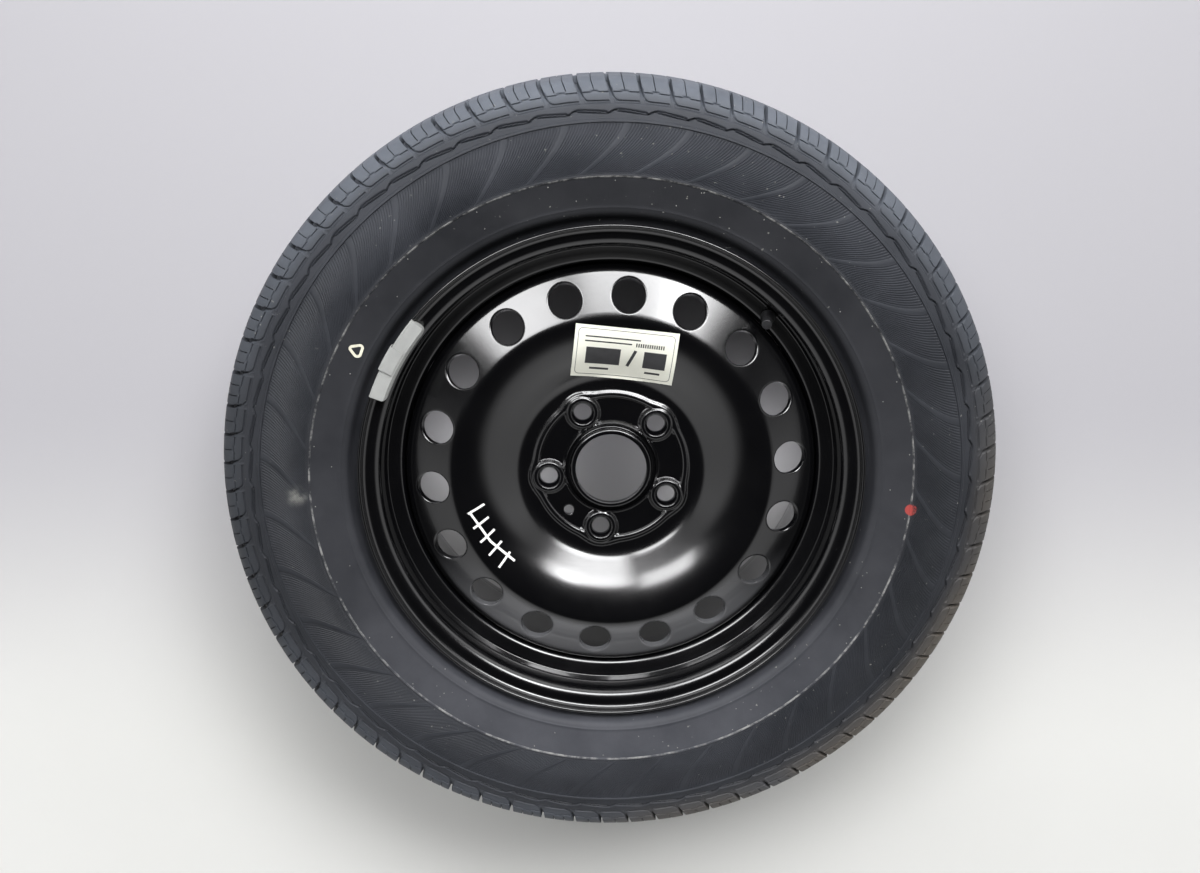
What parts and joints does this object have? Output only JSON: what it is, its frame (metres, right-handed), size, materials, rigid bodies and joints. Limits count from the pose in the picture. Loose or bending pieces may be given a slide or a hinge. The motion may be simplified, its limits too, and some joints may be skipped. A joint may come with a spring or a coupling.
{
  "type": "spare wheel",
  "caption": "Pressed steel car wheel with a dished vented disc, a drop-centre rim, a rubber tyre, a snap-in valve and a clip-on balance weight, lying flat on its inboard side.",
  "frame": {"origin": "centre of the wheel: on the spin axis, midway between the rim's flanges", "axes": "+Z along the spin axis, out of the outboard face, which looks up; +Y towards the sticker; the wheel lies on its inboard sidewall"},
  "size_m": [0.7756, 0.7756, 0.2496],
  "materials": {
    "black_paint": "gloss",
    "tyre": "matte",
    "rubber": "matte",
    "brass": "satin",
    "seal": "matte",
    "steel": "satin",
    "cap_plastic": "satin",
    "grey_paint": "matte",
    "label_paper": "matte"
  },
  "bodies": {
    "wheel": {"rim": "black_paint", "disc": "black_paint", "weld_beads": "black_paint", "tyre": "tyre", "valve_stem": "rubber", "valve_tube": "brass", "valve_core_body": "brass", "valve_core_gasket": "seal", "valve_core_spring": "steel", "balance_weight": "grey_paint", "balance_weight_clip": "grey_paint", "label": "label_paper"},
    "core_pin": {"valve_core_pin": "brass", "valve_core_seal": "rubber"},
    "cap_seal": {"valve_cap_seal": "rubber"},
    "cap": {"valve_cap": "cap_plastic"}
  },
  "joints": [
    {"name": "core_press", "type": "slide", "parent": "wheel", "child": "core_pin", "axis": [0.1814, 0.1846, -0.9659], "range_m": [0, 0.0014], "stiffness_N_per_m": 800, "deforming": ["valve_core_spring"]},
    {"name": "cap_lift", "type": "slide", "parent": "wheel", "child": "cap_seal", "axis": [-0.1814, -0.1846, 0.9659], "range_m": [0, 0.0056]},
    {"name": "cap_turn", "type": "hinge", "parent": "cap_seal", "child": "cap", "pos_m": [0.15294, 0.15563, 0.07145], "axis": [-0.1814, -0.1846, 0.9659], "range_deg": [0, 2520.01]}
  ],
  "couplings": [
    {"joint": "cap_turn", "follows": "cap_lift", "rad_per_m": 7854}
  ]
}
